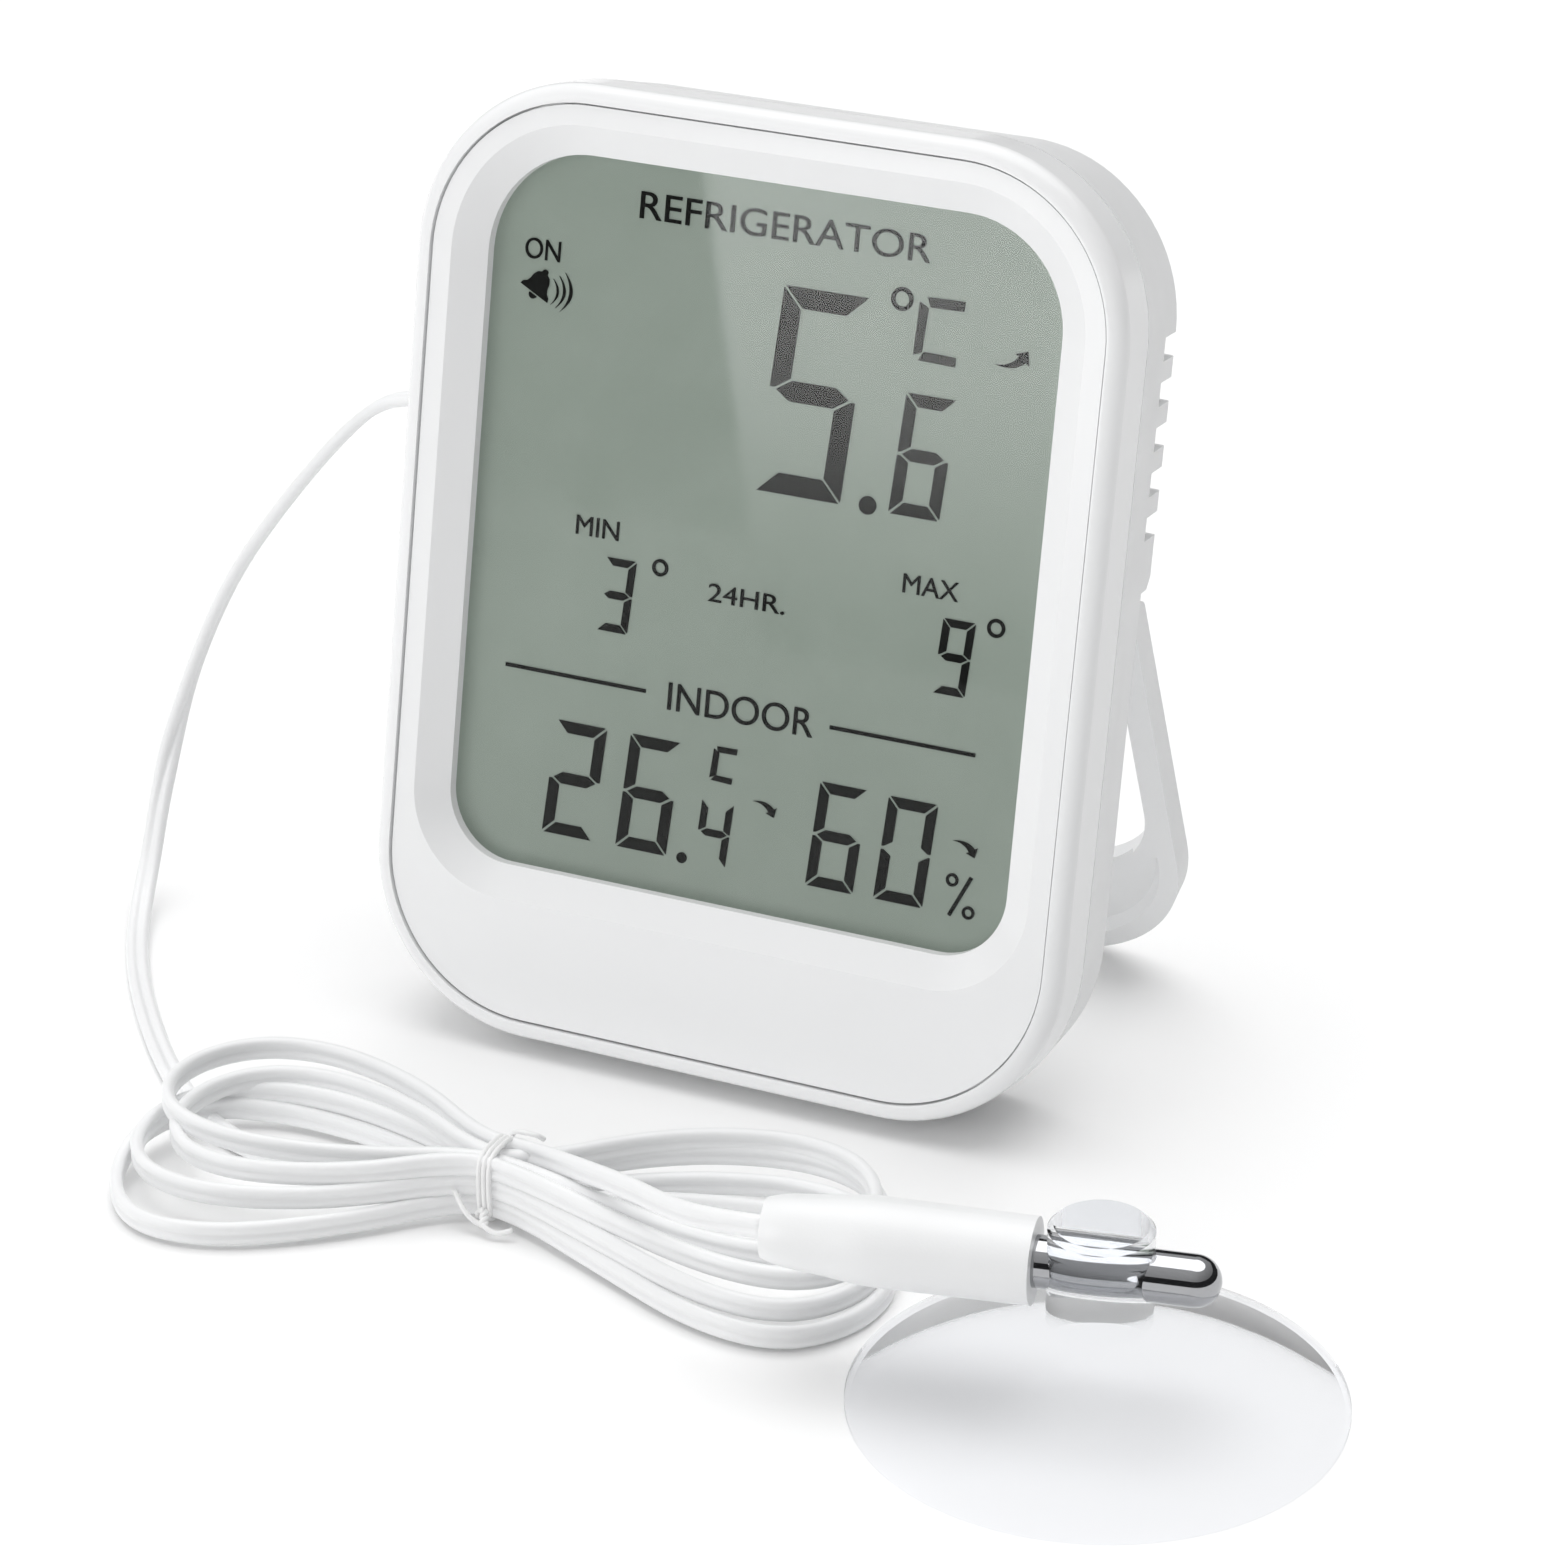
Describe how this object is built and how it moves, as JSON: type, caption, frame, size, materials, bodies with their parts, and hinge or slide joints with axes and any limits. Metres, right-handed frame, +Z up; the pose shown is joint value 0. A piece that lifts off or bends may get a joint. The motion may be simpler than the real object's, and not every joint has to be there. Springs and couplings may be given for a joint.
{
  "type": "maximum minimum thermometer",
  "caption": "Digital maximum minimum thermometer with a leaning display case on a fold-out stand, and a corded steel probe held by a clear suction cup.",
  "frame": {"origin": "on the table, under the middle of the case and its open stand, cord and probe left out", "axes": "+X to the display's right as read, +Y behind the display, +Z up; the display faces -Y and leans back 11.9 degrees"},
  "size_m": [0.1433, 0.0992, 0.0896],
  "materials": {
    "white_gloss": "glossy moulded white plastic",
    "white_case": "satin moulded white plastic",
    "clear_lens": "clear acrylic window, polished",
    "lcd_glass": "grey-green reflective liquid crystal glass with dark segments",
    "white_inner": "plain moulded plastic",
    "black_rubber": "soft elastomer",
    "board_green": "solder mask",
    "black_epoxy": "potted epoxy",
    "black_plastic": "plain",
    "grey_button": "satin",
    "cell_steel": "satin steel can",
    "contact_nickel": "nickel plated spring strip",
    "screw_steel": "zinc plated",
    "white_rubber": "soft white rubber",
    "cord_white": "smooth white flexible insulation",
    "tie_white": "thin plastic coated wire",
    "sleeve_white": "smooth white moulding",
    "polished_steel": "polished stainless tube",
    "resin": "potting resin",
    "clear_pvc": "clear soft plastic, polished"
  },
  "bodies": {
    "case": {"front_bezel": "white_gloss", "front_shell": "white_gloss", "rear_cover": "white_case", "display_lens": "clear_lens", "lcd_panel": "lcd_glass", "lcd_holder": "white_inner", "zebra_strip": "black_rubber", "circuit_board": "board_green", "controller_chip": "black_epoxy", "piezo_buzzer": "black_plastic", "humidity_sensor": "black_plastic", "tact_switches": "black_plastic", "battery_tray": "white_inner", "coin_cell": "cell_steel", "battery_contact_negative": "contact_nickel", "battery_contact_positive": "contact_nickel", "case_screws": "screw_steel", "board_screws": "screw_steel", "stand_pins": "screw_steel", "cord_gland": "white_rubber", "cord_lead": "cord_white", "cord_hank": "cord_white", "cord_tail": "cord_white", "twist_tie": "tie_white"},
    "stand": {"stand": "white_case"},
    "battery_door": {"battery_door": "white_case"},
    "button_max_min": {"button_max_min": "grey_button"},
    "button_clear": {"button_clear": "grey_button"},
    "button_unit": {"button_unit": "grey_button"},
    "button_alarm": {"button_alarm": "grey_button"},
    "probe": {"probe_sleeve": "sleeve_white", "probe_tube": "polished_steel", "thermistor_bead": "resin"},
    "cup": {"suction_cup": "clear_pvc"}
  },
  "joints": [
    {"name": "stand_hinge", "type": "hinge", "parent": "case", "child": "stand", "pos_m": [0, 0.00163, 0.04515], "axis": [1, 0, 0], "range_deg": [-35.4, 0]},
    {"name": "battery_door_turn", "type": "hinge", "parent": "case", "child": "battery_door", "pos_m": [-0.0094, 0.00697, 0.0661], "axis": [0, -0.9785, 0.2062], "range_deg": [0, 45]},
    {"name": "press_max_min", "type": "slide", "parent": "case", "child": "button_max_min", "axis": [0, -0.9785, 0.2062], "range_m": [0, 0.0005], "stiffness_N_per_m": 300},
    {"name": "press_clear", "type": "slide", "parent": "case", "child": "button_clear", "axis": [0, -0.9785, 0.2062], "range_m": [0, 0.0005], "stiffness_N_per_m": 300},
    {"name": "press_unit", "type": "slide", "parent": "case", "child": "button_unit", "axis": [0, -0.9785, 0.2062], "range_m": [0, 0.0005], "stiffness_N_per_m": 300},
    {"name": "press_alarm", "type": "slide", "parent": "case", "child": "button_alarm", "axis": [0, -0.9785, 0.2062], "range_m": [0, 0.0005], "stiffness_N_per_m": 300},
    {"name": "probe_turn", "type": "hinge", "parent": "case", "child": "probe", "pos_m": [0.0538, -0.0557, 0.013], "axis": [0.981, 0.1942, 0], "range_deg": [-45, 10]},
    {"name": "cup_slide", "type": "slide", "parent": "probe", "child": "cup", "axis": [0.981, 0.1942, 0], "range_m": [-0.0008, 0.0034]}
  ]
}
